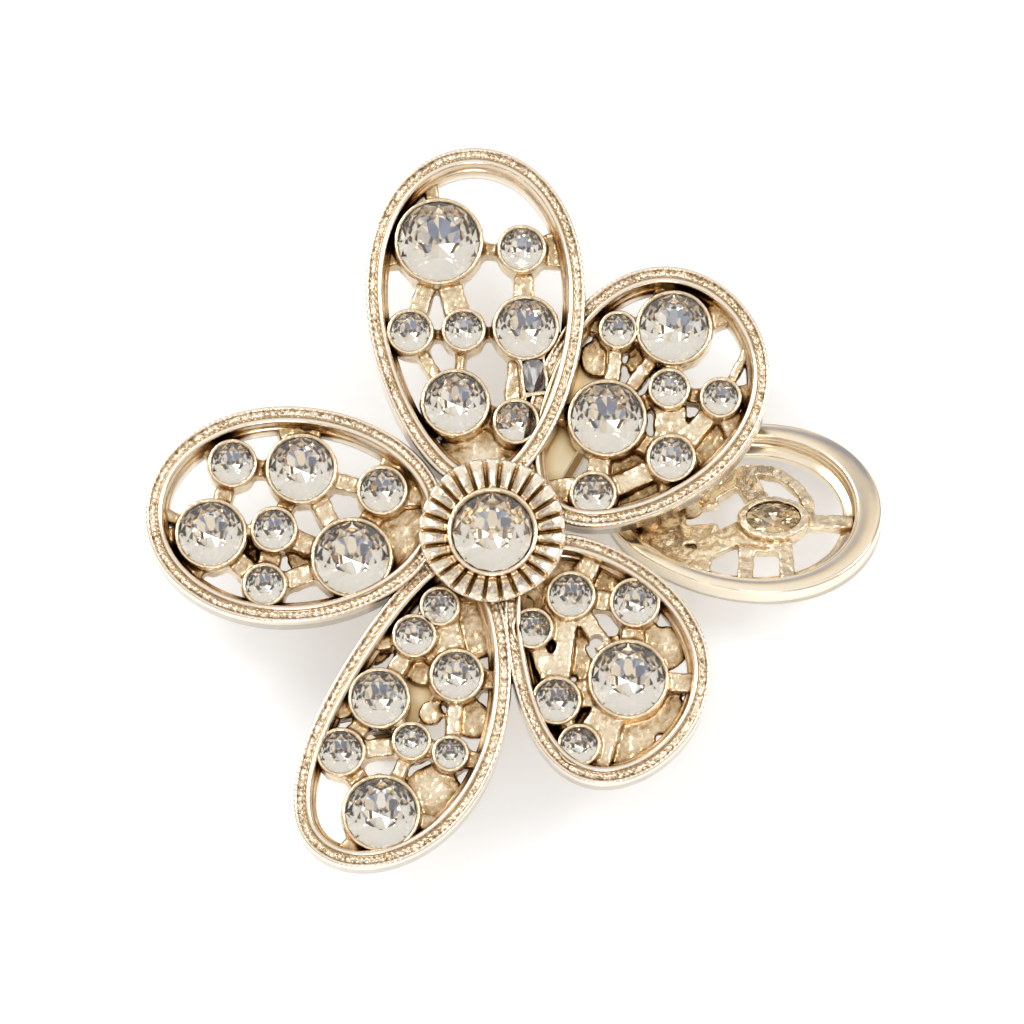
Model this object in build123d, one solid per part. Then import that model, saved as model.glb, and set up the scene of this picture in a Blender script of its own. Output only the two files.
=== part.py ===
from build123d import *
import math
import os
from collections import namedtuple

# Flower hair barrette: five openwork petals and one polished leaf round a fluted rosette, on a plain clip.
# Millimetres. X is to the wearer's right of the flower, Y towards the top petal, Z out of the flower.
# The origin is under the rosette, on the face of the clip that the barrette lies on.

# Clip
CLIP_LENGTH = 37.0
CLIP_WIDTH = 4.2
CLIP_PAD_DIAMETER = 10.0
CLIP_BEARING = 60.0
CLIP_TONGUE = 1.3
HAIR_SPACE = 5.0
CLIP_BAR = 1.3
CLIP_END_WALL = 1.7
CLIP_NECK_RADIUS = 3.0

# Seats and clearances
SEAT_GAP = 0.1
PIECE_GAP = 0.12
STONE_GAP = 0.03

# Petals
RIM_WIDTH = 1.45
RIM_RIDGE = 0.32
RIM_CHANNEL = 0.7
RIM_CHANNEL_DEPTH = 0.28
LEDGE_WIDTH = 0.4
LEDGE_DROP = 1.0
BAR_HEIGHT = 1.9
FLOOR_THICKNESS = 0.8
OUTLINE_POINTS = 40

# Stones and their cups
CUP_WALL = 0.32
CUP_LIP = 0.2
GIRDLE_DROP = 0.35
GIRDLE_THICKNESS = 0.12
TABLE_SHARE = 0.56
STAR_SHARE = 0.8
CROWN_SHARE = 0.17
PAVILION_SHARE = 0.34
PAVILION_MID_SHARE = 0.35
FACETS = 8

# Rosette
ROSETTE_DIAMETER = 11.6
ROSETTE_FOOT_DIAMETER = 8.8
ROSETTE_STEM_DIAMETER = 4.0
ROSETTE_TOP = 12.3
ROSETTE_SEAT = 9.2
ROSETTE_EDGE = 0.35
ROSETTE_LIP = 0.4
CENTRE_STONE_DIAMETER = 6.4
CENTRE_GIRDLE_DROP = 0.95
FLUTES = 26
FLUTE_INNER_RADIUS = 0.22
FLUTE_OUTER_RADIUS = 0.5
DISH_DEPTH = 1.05

# Leaf
LEAF_TILT = 17.0
LEAF_BEARING = -3.0
LEAF_ROOT = (9.0, 4.3)
LEAF_LENGTH = 22.4
LEAF_WIDTH = 15.7
LEAF_FULLNESS = 0.14
LEAF_SIDE = 1.35
LEAF_TIP = 2.2
LEAF_HEIGHT = 2.1
LEAF_LEDGE = 0.9
LEAF_LEDGE_THICKNESS = 0.6
LEAF_PLATE_THICKNESS = 0.7
LEAF_PLATE_LENGTH = 8.0
LEAF_CUP = (22.6, 2.8)
LEAF_CUP_SIZE = (6.0, 4.1)
LEAF_STONE_SIZE = (4.4, 2.9)
LEAF_CUP_DROP = 0.3
LEAF_CURL_CENTRE = (21.2, 4.7)
LEAF_CURL_RADIUS = 3.9
LEAF_CURL_WIDTH = 0.7
LEAF_BAR_DROP = 1.0

# Baguette
BAGUETTE_WIDTH = 1.6
BAGUETTE_LENGTH = 2.6
BAGUETTE_CORNER = 0.3
BAGUETTE_PLACE = (0.33, -0.5)
BAGUETTE_TURN = 4.0

BACK = CLIP_TONGUE + HAIR_SPACE + CLIP_BAR + SEAT_GAP

Petal = namedtuple("Petal", "bearing along across length width fullness bow height")
PETALS = {
    "petal_top": Petal(92, 3.5, 0.6, 28.5, 17.5, 0.17, 0.1, 3.3),
    "petal_left": Petal(180, 3.8, -1.7, 24.0, 17.8, 0.06, 0.0, 3.0),
    "petal_upper_right": Petal(53, 4.0, -2.5, 23.6, 17.4, 0.17, -0.6, 3.0),
    "petal_bottom": Petal(-113, 2.0, -1.4, 27.5, 14.4, 0.2, 1.6, 2.7),
    "petal_lower_right": Petal(-67, 1.4, 3.0, 21.3, 15.5, 0.21, 1.5, 2.7),
}

# Places are shares of the petal's length from its root, and of its half width from its axis.
Stone = namedtuple("Stone", "along across diameter")
STONES = {
    "petal_top": [
        Stone(0.73, 0.33, 6.6),
        Stone(0.70, -0.43, 3.4),
        Stone(0.47, 0.62, 3.2),
        Stone(0.47, 0.13, 3.0),
        Stone(0.47, -0.44, 4.8),
        Stone(0.26, 0.23, 5.0),
        Stone(0.20, -0.32, 3.2),
    ],
    "petal_left": [
        Stone(0.71, -0.47, 3.4),
        Stone(0.48, -0.42, 5.2),
        Stone(0.21, -0.22, 3.5),
        Stone(0.78, 0.18, 5.2),
        Stone(0.57, 0.14, 3.2),
        Stone(0.31, 0.40, 6.0),
        Stone(0.60, 0.65, 3.0),
    ],
    "petal_upper_right": [
        Stone(0.66, 0.53, 2.6),
        Stone(0.78, 0.13, 5.6),
        Stone(0.39, 0.11, 5.8),
        Stone(0.60, -0.18, 2.8),
        Stone(0.68, -0.61, 2.8),
        Stone(0.41, -0.59, 3.4),
        Stone(0.15, -0.22, 3.2),
    ],
    "petal_bottom": [
        Stone(0.18, -0.03, 2.7),
        Stone(0.29, -0.16, 3.0),
        Stone(0.50, -0.24, 4.4),
        Stone(0.35, 0.45, 3.8),
        Stone(0.69, -0.39, 3.4),
        Stone(0.58, 0.28, 2.6),
        Stone(0.57, 0.73, 2.4),
        Stone(0.81, 0.29, 5.7),
    ],
    "petal_lower_right": [
        Stone(0.26, 0.11, 3.4),
        Stone(0.38, 0.69, 3.5),
        Stone(0.32, -0.39, 2.8),
        Stone(0.64, 0.31, 5.9),
        Stone(0.61, -0.46, 3.4),
        Stone(0.80, -0.43, 2.9),
    ],
}

# Cast bars from cup to cup, by the cups' numbers in the list above.
Link = namedtuple("Link", "first second width")
LINKS = {
    "petal_top": [
        Link(1, 2, 1.1),
        Link(1, 3, 1.6),
        Link(1, 4, 2.1),
        Link(2, 5, 1.7),
        Link(3, 4, 0.9),
        Link(4, 5, 1.0),
        Link(4, 6, 0.9),
        Link(3, 6, 1.1),
        Link(5, 7, 2.4),
        Link(6, 7, 2.0),
    ],
    "petal_left": [
        Link(1, 2, 1.4),
        Link(1, 4, 1.6),
        Link(2, 3, 1.4),
        Link(2, 5, 1.4),
        Link(2, 6, 1.6),
        Link(3, 6, 1.8),
        Link(4, 5, 1.2),
        Link(5, 6, 1.8),
        Link(5, 7, 1.8),
        Link(4, 7, 1.8),
        Link(7, 6, 1.6),
    ],
    "petal_upper_right": [
        Link(1, 2, 1.2),
        Link(1, 3, 1.2),
        Link(2, 3, 1.2),
        Link(2, 4, 1.6),
        Link(3, 4, 1.4),
        Link(4, 5, 1.3),
        Link(4, 6, 2.6),
        Link(3, 6, 1.6),
        Link(5, 6, 1.6),
        Link(3, 7, 1.8),
        Link(6, 7, 1.8),
    ],
    "petal_bottom": [
        Link(1, 2, 1.6),
        Link(1, 4, 2.4),
        Link(2, 3, 1.5),
        Link(2, 4, 1.4),
        Link(3, 5, 1.6),
        Link(3, 6, 1.5),
        Link(5, 6, 1.6),
        Link(4, 7, 1.2),
        Link(6, 7, 1.4),
        Link(5, 8, 1.8),
        Link(6, 8, 1.2),
    ],
    "petal_lower_right": [
        Link(1, 2, 1.6),
        Link(1, 3, 1.6),
        Link(2, 4, 1.8),
        Link(1, 4, 1.4),
        Link(1, 5, 1.6),
        Link(3, 5, 1.4),
        Link(4, 5, 2.2),
        Link(5, 6, 1.4),
        Link(4, 6, 2.0),
    ],
}

# Cast bars from a cup out to the rim. The heading is counted from the petal's own bearing.
Tie = namedtuple("Tie", "cup heading width")
TIES = {
    "petal_top": [
        Tie(1, 7, 1.2),
        Tie(1, 103, 1.6),
        Tie(2, -68, 1.4),
        Tie(2, -107, 1.4),
        Tie(3, 88, 1.4),
        Tie(5, -114, 1.3),
        Tie(6, 125, 1.8),
        Tie(7, -92, 1.8),
    ],
    "petal_left": [
        Tie(1, -32, 1.4),
        Tie(2, -100, 2.0),
        Tie(2, -70, 2.0),
        Tie(3, -111, 2.4),
        Tie(3, 180, 2.4),
        Tie(4, 0, 1.4),
        Tie(4, 60, 2.0),
        Tie(4, -27, 1.0),
        Tie(6, 105, 2.0),
        Tie(6, 150, 2.6),
        Tie(7, 85, 1.3),
    ],
    "petal_upper_right": [
        Tie(1, 107, 1.4),
        Tie(2, 51, 1.8),
        Tie(2, -35, 2.0),
        Tie(5, -43, 1.6),
        Tie(5, 13, 0.8),
        Tie(5, -113, 2.0),
        Tie(6, -83, 1.6),
        Tie(6, -143, 2.0),
        Tie(3, 117, 1.5),
        Tie(7, -130, 2.0),
    ],
    "petal_bottom": [
        Tie(2, -57, 1.2),
        Tie(3, -52, 1.6),
        Tie(5, -67, 1.2),
        Tie(8, -22, 1.6),
        Tie(8, 23, 1.8),
        Tie(8, 103, 1.4),
        Tie(4, 113, 1.6),
        Tie(7, 103, 1.4),
    ],
    "petal_lower_right": [
        Tie(1, 127, 1.8),
        Tie(2, 107, 1.6),
        Tie(4, 67, 1.6),
        Tie(4, -40, 1.2),
        Tie(6, -13, 1.4),
        Tie(5, -93, 1.4),
        Tie(3, -113, 1.2),
    ],
}

# Thin cast floors that close some of the cells behind the cups, and the root of every petal.
Floor = namedtuple("Floor", "along across radius")
FLOORS = {
    "petal_top": [
        Floor(0.10, -0.05, 4.2),
    ],
    "petal_left": [
        Floor(0.10, 0.00, 3.2),
        Floor(0.13, 0.38, 2.1),
        Floor(0.14, -0.35, 1.6),
        Floor(0.67, 0.33, 1.1),
        Floor(0.48, 0.37, 1.1),
    ],
    "petal_upper_right": [
        Floor(0.53, -0.66, 2.1),
        Floor(0.35, -0.35, 2.1),
        Floor(0.29, -0.64, 2.1),
        Floor(0.42, -0.84, 1.4),
        Floor(0.56, 0.54, 1.6),
        Floor(0.63, 0.19, 1.3),
        Floor(0.17, -0.48, 1.8),
        Floor(0.06, -0.10, 3.0),
    ],
    "petal_bottom": [
        Floor(0.47, 0.33, 1.0),
        Floor(0.44, 0.78, 1.6),
        Floor(0.68, 0.71, 2.2),
        Floor(0.20, 0.42, 2.2),
        Floor(0.37, 0.04, 1.1),
        Floor(0.24, 0.25, 1.6),
        Floor(0.08, 0.00, 3.4),
    ],
    "petal_lower_right": [
        Floor(0.45, -0.40, 2.4),
        Floor(0.38, 0.08, 1.4),
        Floor(0.50, 0.60, 1.8),
        Floor(0.71, -0.09, 1.9),
        Floor(0.85, 0.07, 2.2),
        Floor(0.57, 0.80, 1.8),
        Floor(0.10, 0.10, 3.6),
        Floor(0.48, -0.10, 1.3),
    ],
}


def turned(x, y, degrees):
    """A point turned about the origin."""
    angle = math.radians(degrees)
    return (
        x * math.cos(angle) - y * math.sin(angle),
        x * math.sin(angle) + y * math.cos(angle),
    )


def egg(length, width, fullness, bow, inset):
    """Points round an egg from its root at the origin along +X, moved inwards by inset."""
    points = []
    for step in range(OUTLINE_POINTS):
        turn = 2 * math.pi * step / OUTLINE_POINTS
        share = (1 - math.cos(turn)) / 2
        x = length * share
        y = width / 2 * math.sin(turn) * (1 - fullness * math.cos(turn))
        y += 4 * bow * share * (1 - share)
        dx = length * math.sin(turn) / 2
        dy = width / 2 * (math.cos(turn) - fullness * math.cos(2 * turn))
        dy += 2 * bow * (1 - 2 * share) * math.sin(turn)
        run = math.hypot(dx, dy)
        points.append((x + inset * dy / run, y - inset * dx / run))
    return points


def slab(points, low, high):
    """A plate with a smooth closed outline between two heights."""
    outline = make_face(Spline(*points, periodic=True))
    return Pos(0, 0, low) * extrude(outline, high - low)


def round_bar(centre, radius, low, high):
    """An upright cylinder between two heights."""
    middle = (low + high) / 2
    return Pos(centre[0], centre[1], middle) * Cylinder(radius, high - low)


def bar(start, end, width, low, high):
    """A straight bar from point to point between two heights."""
    dx = end[0] - start[0]
    dy = end[1] - start[1]
    place = Pos((start[0] + end[0]) / 2, (start[1] + end[1]) / 2, (low + high) / 2)
    heading = math.degrees(math.atan2(dy, dx))
    return place * Rot(0, 0, heading) * Box(math.hypot(dx, dy), width, high - low)


def petal_outline(p, inset):
    """The petal's outline in the flower's plane, moved inwards by inset."""
    points = egg(p.length, p.width, p.fullness, p.bow, inset)
    return [turned(p.along + x, p.across + y, p.bearing) for x, y in points]


def petal_point(p, along, across):
    """A place on a petal given as shares of its length and half width."""
    return turned(p.along + along * p.length, p.across + across * p.width / 2, p.bearing)


def ring(size, share, height, offset):
    """Corners of one level of facets: a regular ring scaled to a round or oval stone."""
    corners = []
    for step in range(FACETS):
        angle = 2 * math.pi * (step + offset) / FACETS
        corners.append((
            size[0] / 2 * share * math.cos(angle),
            size[1] / 2 * share * math.sin(angle),
            height,
        ))
    return corners


def brilliant(size):
    """A brilliant cut stone of size (length, width) with its girdle about z = 0."""
    depth = min(size)
    half_girdle = GIRDLE_THICKNESS / 2
    crown = half_girdle + CROWN_SHARE * depth
    culet = -half_girdle - PAVILION_SHARE * depth
    half_step = math.cos(math.pi / FACETS)
    star_fall = (STAR_SHARE * half_step - TABLE_SHARE) / (1 - TABLE_SHARE)
    star_height = crown - (crown - half_girdle) * star_fall
    mid_height = culet - (culet + half_girdle) * PAVILION_MID_SHARE * half_step

    table = ring(size, TABLE_SHARE, crown, 0)
    star = ring(size, STAR_SHARE, star_height, 0.5)
    upper = ring(size, 1, half_girdle, 0)
    upper_between = ring(size, 1, half_girdle, 0.5)
    lower = ring(size, 1, -half_girdle, 0)
    lower_between = ring(size, 1, -half_girdle, 0.5)
    mid = ring(size, PAVILION_MID_SHARE, mid_height, 0.5)
    point = (0, 0, culet)

    facets = [table]
    for k in range(FACETS):
        n = (k + 1) % FACETS
        facets += [
            [table[k], star[k], table[n]],
            [table[k], star[k - 1], upper[k], star[k]],
            [star[k], upper[k], upper_between[k]],
            [star[k], upper_between[k], upper[n]],
            [upper[k], lower[k], lower_between[k], upper_between[k]],
            [upper_between[k], lower_between[k], lower[n], upper[n]],
            [mid[k], lower[k], lower_between[k]],
            [mid[k], lower_between[k], lower[n]],
            [point, mid[k - 1], lower[k], mid[k]],
        ]
    return Solid(Shell([Face(Wire.make_polygon(corners)) for corners in facets]))


def stone_pocket(size, centre, girdle, top):
    """The room for a stone: a straight wall at the girdle and a cone under it."""
    wide = (size[0] / 2 + STONE_GAP, size[1] / 2 + STONE_GAP)
    floor = girdle - GIRDLE_THICKNESS / 2 - STONE_GAP
    point = floor - PAVILION_SHARE * min(size) - STONE_GAP
    opening = Pos(centre[0], centre[1], floor) * Ellipse(*wide)
    end = Pos(centre[0], centre[1], point) * Ellipse(wide[0] * 0.06, wide[1] * 0.06)
    return extrude(opening, top - floor) + loft([end, opening])


def cut_rectangle(width, length, corner, height):
    """Corners of a rectangle with its four corners cut off."""
    x = width / 2
    y = length / 2
    return [
        (x, y - corner, height),
        (x - corner, y, height),
        (corner - x, y, height),
        (-x, y - corner, height),
        (-x, corner - y, height),
        (corner - x, -y, height),
        (x - corner, -y, height),
        (x, corner - y, height),
    ]


def baguette_stone():
    """A step cut stone with its girdle about z = 0."""
    half_girdle = GIRDLE_THICKNESS / 2
    step = BAGUETTE_WIDTH * 0.2
    levels = [
        (2.2 * step, -0.6 * BAGUETTE_WIDTH / 2 - half_girdle),
        (0, -half_girdle),
        (0, half_girdle),
        (step, half_girdle + CROWN_SHARE * BAGUETTE_WIDTH),
    ]
    rings = []
    for shrink, height in levels:
        width = BAGUETTE_WIDTH - 2 * shrink * 0.9
        length = BAGUETTE_LENGTH - 2 * shrink * 0.9
        rings.append(cut_rectangle(width, length, BAGUETTE_CORNER * width / BAGUETTE_WIDTH, height))
    faces = [rings[0], rings[-1]]
    for below, above in zip(rings, rings[1:]):
        for k in range(len(below)):
            faces.append([below[k - 1], below[k], above[k], above[k - 1]])
    return Solid(Shell([Face(Wire.make_polygon(corners)) for corners in faces]))


def baguette_place():
    """Where the baguette sits on the top petal, and which way its long side runs."""
    p = PETALS["petal_top"]
    return petal_point(p, *BAGUETTE_PLACE), p.bearing - 90 + BAGUETTE_TURN


def petal(name, neighbours):
    """One cast petal: rim with a sunk channel, cups, bars, floors, cut clear of its neighbours."""
    p = PETALS[name]
    top = BACK + p.height
    girdle = top - GIRDLE_DROP
    cup_top = girdle + CUP_LIP
    bar_top = BACK + BAR_HEIGHT
    places = [petal_point(p, s.along, s.across) for s in STONES[name]]

    inside = slab(petal_outline(p, RIM_WIDTH - STONE_GAP), BACK, top)
    work = []
    for place, stone in zip(places, STONES[name]):
        work.append(round_bar(place, stone.diameter / 2 + CUP_WALL, BACK, cup_top))
    for link in LINKS[name]:
        work.append(bar(places[link.first - 1], places[link.second - 1], link.width, BACK, bar_top))
    for tie in TIES[name]:
        x, y = places[tie.cup - 1]
        dx, dy = turned(p.width, 0, p.bearing + tie.heading)
        work.append(bar((x, y), (x + dx, y + dy), tie.width, BACK, bar_top))
    for floor in FLOORS[name]:
        place = petal_point(p, floor.along, floor.across)
        work.append(round_bar(place, floor.radius, BACK, BACK + FLOOR_THICKNESS))
    if name == "petal_top":
        place, heading = baguette_place()
        seat = Box(BAGUETTE_WIDTH + 2 * CUP_WALL, BAGUETTE_LENGTH + 2 * CUP_WALL, cup_top - BACK)
        work.append(Pos(*place, (BACK + cup_top) / 2) * Rot(0, 0, heading) * seat)

    body = slab(petal_outline(p, 0), BACK, top)
    body -= slab(petal_outline(p, RIM_WIDTH), BACK, top)
    ledge = slab(petal_outline(p, RIM_WIDTH / 2), BACK, top - LEDGE_DROP)
    ledge -= slab(petal_outline(p, RIM_WIDTH + LEDGE_WIDTH), BACK, top - LEDGE_DROP)
    channel = slab(petal_outline(p, RIM_RIDGE), top - RIM_CHANNEL_DEPTH, top)
    channel -= slab(petal_outline(p, RIM_RIDGE + RIM_CHANNEL), top - RIM_CHANNEL_DEPTH, top)
    inner = work[0].fuse(*work[1:]) & inside
    body = body.fuse(ledge, *inner.solids()) - channel

    for place, stone in zip(places, STONES[name]):
        body -= stone_pocket((stone.diameter, stone.diameter), place, girdle, top)
    if name == "petal_top":
        place, heading = baguette_place()
        room = Box(
            BAGUETTE_WIDTH + 2 * STONE_GAP,
            BAGUETTE_LENGTH + 2 * STONE_GAP,
            GIRDLE_DROP + BAGUETTE_WIDTH,
        )
        middle = top - (GIRDLE_DROP + BAGUETTE_WIDTH) / 2
        body -= Pos(*place, middle) * Rot(0, 0, heading) * room
    for other in neighbours:
        body -= slab(petal_outline(PETALS[other], -PIECE_GAP), BACK, BACK + PETALS[other].height)
    hub = ROSETTE_DIAMETER / 2 + PIECE_GAP
    body -= round_bar((0, 0), hub, ROSETTE_SEAT - SEAT_GAP, ROSETTE_TOP)
    body -= round_bar((0, 0), ROSETTE_STEM_DIAMETER / 2 + PIECE_GAP, BACK, ROSETTE_SEAT)
    return max(body.solids(), key=lambda solid: solid.volume)


def rosette():
    """The fluted cup that holds the centre stone, with the stem that carries it on the clip."""
    outer = ROSETTE_DIAMETER / 2
    girdle = ROSETTE_TOP - CENTRE_GIRDLE_DROP
    stone = CENTRE_STONE_DIAMETER / 2
    lip = stone + ROSETTE_LIP
    dish = ROSETTE_TOP - DISH_DEPTH
    profile = [
        (0, BACK),
        (ROSETTE_STEM_DIAMETER / 2, BACK),
        (ROSETTE_STEM_DIAMETER / 2, ROSETTE_SEAT),
        (ROSETTE_FOOT_DIAMETER / 2, ROSETTE_SEAT),
        (outer, ROSETTE_TOP - ROSETTE_EDGE),
        (outer, ROSETTE_TOP - ROSETTE_EDGE / 3),
        (outer - ROSETTE_EDGE, ROSETTE_TOP),
        (lip, dish),
        (lip, girdle + CUP_LIP),
        (0, girdle + CUP_LIP),
    ]
    section = make_face(Polyline(*[(r, 0, z) for r, z in profile], close=True))
    body = revolve(section, Axis.Z)
    run = math.hypot(outer - lip, ROSETTE_TOP - dish)
    slope = math.degrees(math.atan2(ROSETTE_TOP - dish, outer - ROSETTE_EDGE - lip))
    flute = Cone(FLUTE_INNER_RADIUS, FLUTE_OUTER_RADIUS, run * 1.3)
    middle = (lip + outer) / 2
    height = (dish + ROSETTE_TOP) / 2 + FLUTE_INNER_RADIUS / 2
    laid = Pos(middle, 0, height) * Rot(0, 90 - slope, 0) * flute
    body = body.cut(*[Rot(0, 0, 360 * k / FLUTES) * laid for k in range(FLUTES)])
    body -= stone_pocket((CENTRE_STONE_DIAMETER, CENTRE_STONE_DIAMETER), (0, 0), girdle, ROSETTE_TOP)
    return max(body.solids(), key=lambda solid: solid.volume)


def leaf_outline(inset):
    """The leaf's outer outline in its own plane."""
    points = egg(LEAF_LENGTH, LEAF_WIDTH, LEAF_FULLNESS, 0, inset)
    spun = [turned(x, y, LEAF_BEARING) for x, y in points]
    return [(LEAF_ROOT[0] + x, LEAF_ROOT[1] + y) for x, y in spun]


def leaf_opening(inset):
    """The outline inside the leaf's polished band, which is broadest at the tip."""
    length = LEAF_LENGTH - LEAF_SIDE - LEAF_TIP
    points = egg(length, LEAF_WIDTH - 2 * LEAF_SIDE, LEAF_FULLNESS, 0, inset)
    spun = [turned(LEAF_SIDE + x, y, LEAF_BEARING) for x, y in points]
    return [(LEAF_ROOT[0] + x, LEAF_ROOT[1] + y) for x, y in spun]


def leaf_frame():
    """Where the leaf's plane lies: tilted back, its highest edge just under the petals."""
    lowest = min(y for x, y in leaf_outline(0))
    rise = BACK + SEAT_GAP + lowest * math.sin(math.radians(LEAF_TILT))
    return Pos(0, 0, rise) * Rot(-LEAF_TILT, 0, 0)


def leaf_girdle():
    """Height of the oval stone's girdle in the leaf's own frame."""
    return -LEAF_CUP_DROP - CUP_LIP


def leaf():
    """The polished leaf: a tall band with an inner ledge, a plain root plate and an oval cup on bars."""
    band = slab(leaf_outline(0), -LEAF_HEIGHT, 0)
    band -= slab(leaf_opening(0), -LEAF_HEIGHT, 0)
    ledge = slab(leaf_opening(-LEAF_SIDE / 2), -LEAF_HEIGHT, LEAF_LEDGE_THICKNESS - LEAF_HEIGHT)
    ledge -= slab(leaf_opening(LEAF_LEDGE), -LEAF_HEIGHT, LEAF_LEDGE_THICKNESS - LEAF_HEIGHT)
    inside = slab(leaf_opening(-LEAF_SIDE / 2), -LEAF_HEIGHT, 0)

    x, y = LEAF_CUP
    bar_top = -LEAF_BAR_DROP
    base = -LEAF_HEIGHT
    plate_top = LEAF_PLATE_THICKNESS - LEAF_HEIGHT
    plate_end = LEAF_ROOT[0] + LEAF_PLATE_LENGTH
    reach = LEAF_LENGTH
    curl = CenterArc(LEAF_CURL_CENTRE, LEAF_CURL_RADIUS, 5, 110)
    oval = Ellipse(LEAF_CUP_SIZE[0] / 2, LEAF_CUP_SIZE[1] / 2)
    work = [
        bar((plate_end - reach, y), (plate_end, y), LEAF_WIDTH, base, plate_top),
        Pos(x, y, base) * extrude(oval, LEAF_HEIGHT - LEAF_CUP_DROP),
        Pos(0, 0, base) * extrude(trace(curl, LEAF_CURL_WIDTH), bar_top - base),
        bar((x, y), (x + reach, y + 0.2), 1.5, base, bar_top),
        bar((x - 2.1, y - 0.8), (x - 2.3, y - reach), 1.5, base, bar_top),
        bar((x + 0.9, y - 0.8), (x + 1.1, y - reach), 1.4, base, bar_top),
        bar((x - 2.6, y - 2.3), (x + 1.4, y - 2.3), 1.0, base, bar_top),
        bar((x, y), (x - 2.6, y + 4.8), 1.3, base, bar_top),
        bar((x, y), (x - reach / 3, y - 2.2), 1.8, base, bar_top),
        bar((x - 2.4, y + 4.5), (x - reach / 3, y + 1.5), 1.4, base, bar_top),
    ]
    inner = work[0].fuse(*work[1:]) & inside
    body = band.fuse(ledge, *inner.solids())
    body -= stone_pocket(LEAF_STONE_SIZE, LEAF_CUP, leaf_girdle(), 0)
    return leaf_frame() * max(body.solids(), key=lambda solid: solid.volume)


def clip():
    """The plain clip: bar above, tongue below, and the space for the hair between them."""
    plan = SlotOverall(CLIP_LENGTH, CLIP_WIDTH) + Circle(CLIP_PAD_DIAMETER / 2)
    necks = plan.vertices().filter_by(lambda v: math.hypot(v.X, v.Y) < CLIP_PAD_DIAMETER / 2 + 0.1)
    plan = fillet(necks, CLIP_NECK_RADIUS)
    height = CLIP_TONGUE + HAIR_SPACE + CLIP_BAR
    body = extrude(plan, height)
    gap = Box(CLIP_LENGTH - 2 * CLIP_END_WALL, 2 * CLIP_PAD_DIAMETER, HAIR_SPACE)
    body -= Pos(0, 0, CLIP_TONGUE + HAIR_SPACE / 2) * gap
    return Rot(0, 0, CLIP_BEARING) * body.solids()[0]


parts = {"clip": clip(), "rosette": rosette(), "leaf": leaf()}

done = []
for petal_name in PETALS:
    parts[petal_name] = petal(petal_name, done)
    done.append(petal_name)
    spec = PETALS[petal_name]
    seat = BACK + spec.height - GIRDLE_DROP
    for number, cut in enumerate(STONES[petal_name], 1):
        spot = petal_point(spec, cut.along, cut.across)
        cut_stone = brilliant((cut.diameter, cut.diameter))
        turn = 22.5 * number
        parts[f"{petal_name}_stone_{number}"] = Pos(*spot, seat) * Rot(0, 0, turn) * cut_stone

spot, heading = baguette_place()
seat = BACK + PETALS["petal_top"].height - GIRDLE_DROP
parts["petal_top_baguette"] = Pos(*spot, seat) * Rot(0, 0, heading) * baguette_stone()
centre_cut = brilliant((CENTRE_STONE_DIAMETER, CENTRE_STONE_DIAMETER))
parts["centre_stone"] = Pos(0, 0, ROSETTE_TOP - CENTRE_GIRDLE_DROP) * centre_cut
parts["leaf_stone"] = leaf_frame() * Pos(*LEAF_CUP, leaf_girdle()) * brilliant(LEAF_STONE_SIZE)

os.makedirs("parts", exist_ok=True)
for node, shape in parts.items():
    export_step(shape, f"parts/{node}.step")
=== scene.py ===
import bpy
import bmesh
import math
from mathutils import Matrix, Vector
from mathutils.kdtree import KDTree


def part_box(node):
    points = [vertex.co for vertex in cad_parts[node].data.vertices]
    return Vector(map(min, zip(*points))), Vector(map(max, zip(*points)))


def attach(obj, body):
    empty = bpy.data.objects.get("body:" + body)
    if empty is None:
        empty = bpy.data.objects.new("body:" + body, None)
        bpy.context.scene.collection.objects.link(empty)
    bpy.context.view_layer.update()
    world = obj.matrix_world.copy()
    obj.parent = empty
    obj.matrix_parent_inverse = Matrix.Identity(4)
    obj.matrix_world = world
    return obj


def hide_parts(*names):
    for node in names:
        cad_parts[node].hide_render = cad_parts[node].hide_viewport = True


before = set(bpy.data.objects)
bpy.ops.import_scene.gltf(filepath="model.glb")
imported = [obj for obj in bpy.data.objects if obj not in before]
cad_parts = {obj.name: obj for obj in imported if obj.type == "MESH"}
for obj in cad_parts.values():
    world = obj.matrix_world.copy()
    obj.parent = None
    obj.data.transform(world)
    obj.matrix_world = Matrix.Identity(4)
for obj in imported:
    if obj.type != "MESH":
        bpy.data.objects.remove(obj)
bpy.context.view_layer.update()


# PETAL RIMS
# Each rim is one cast band: a beaded outer ridge, a granulated channel and a polished inner ridge,
# with a ledge low down inside that the bars grow from. It is part of the same casting as the cups.

def linear(code):
    """Linear colour of an sRGB hex code."""
    parts = [int(code[k:k + 2], 16) / 255 for k in (0, 2, 4)]
    return [c / 12.92 if c < 0.04045 else ((c + 0.055) / 1.055) ** 2.4 for c in parts] + [1]


def node(tree, kind, **inputs):
    """Adds a shader node; each named input is a value or a socket to link from."""
    made = tree.nodes.new(kind)
    for name, value in inputs.items():
        socket = made.inputs[name.replace("_", " ")]
        if isinstance(value, bpy.types.NodeSocket):
            tree.links.new(value, socket)
        else:
            socket.default_value = value
    return made


def ramp(tree, value, *stops):
    """A colour ramp with (position, hex) stops."""
    made = node(tree, "ShaderNodeValToRGB", Fac=value)
    while len(made.color_ramp.elements) < len(stops):
        made.color_ramp.elements.new(0.5)
    for element, (place, code) in zip(made.color_ramp.elements, stops):
        element.position = place
        element.color = linear(code)
    return made.outputs["Color"]


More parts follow.
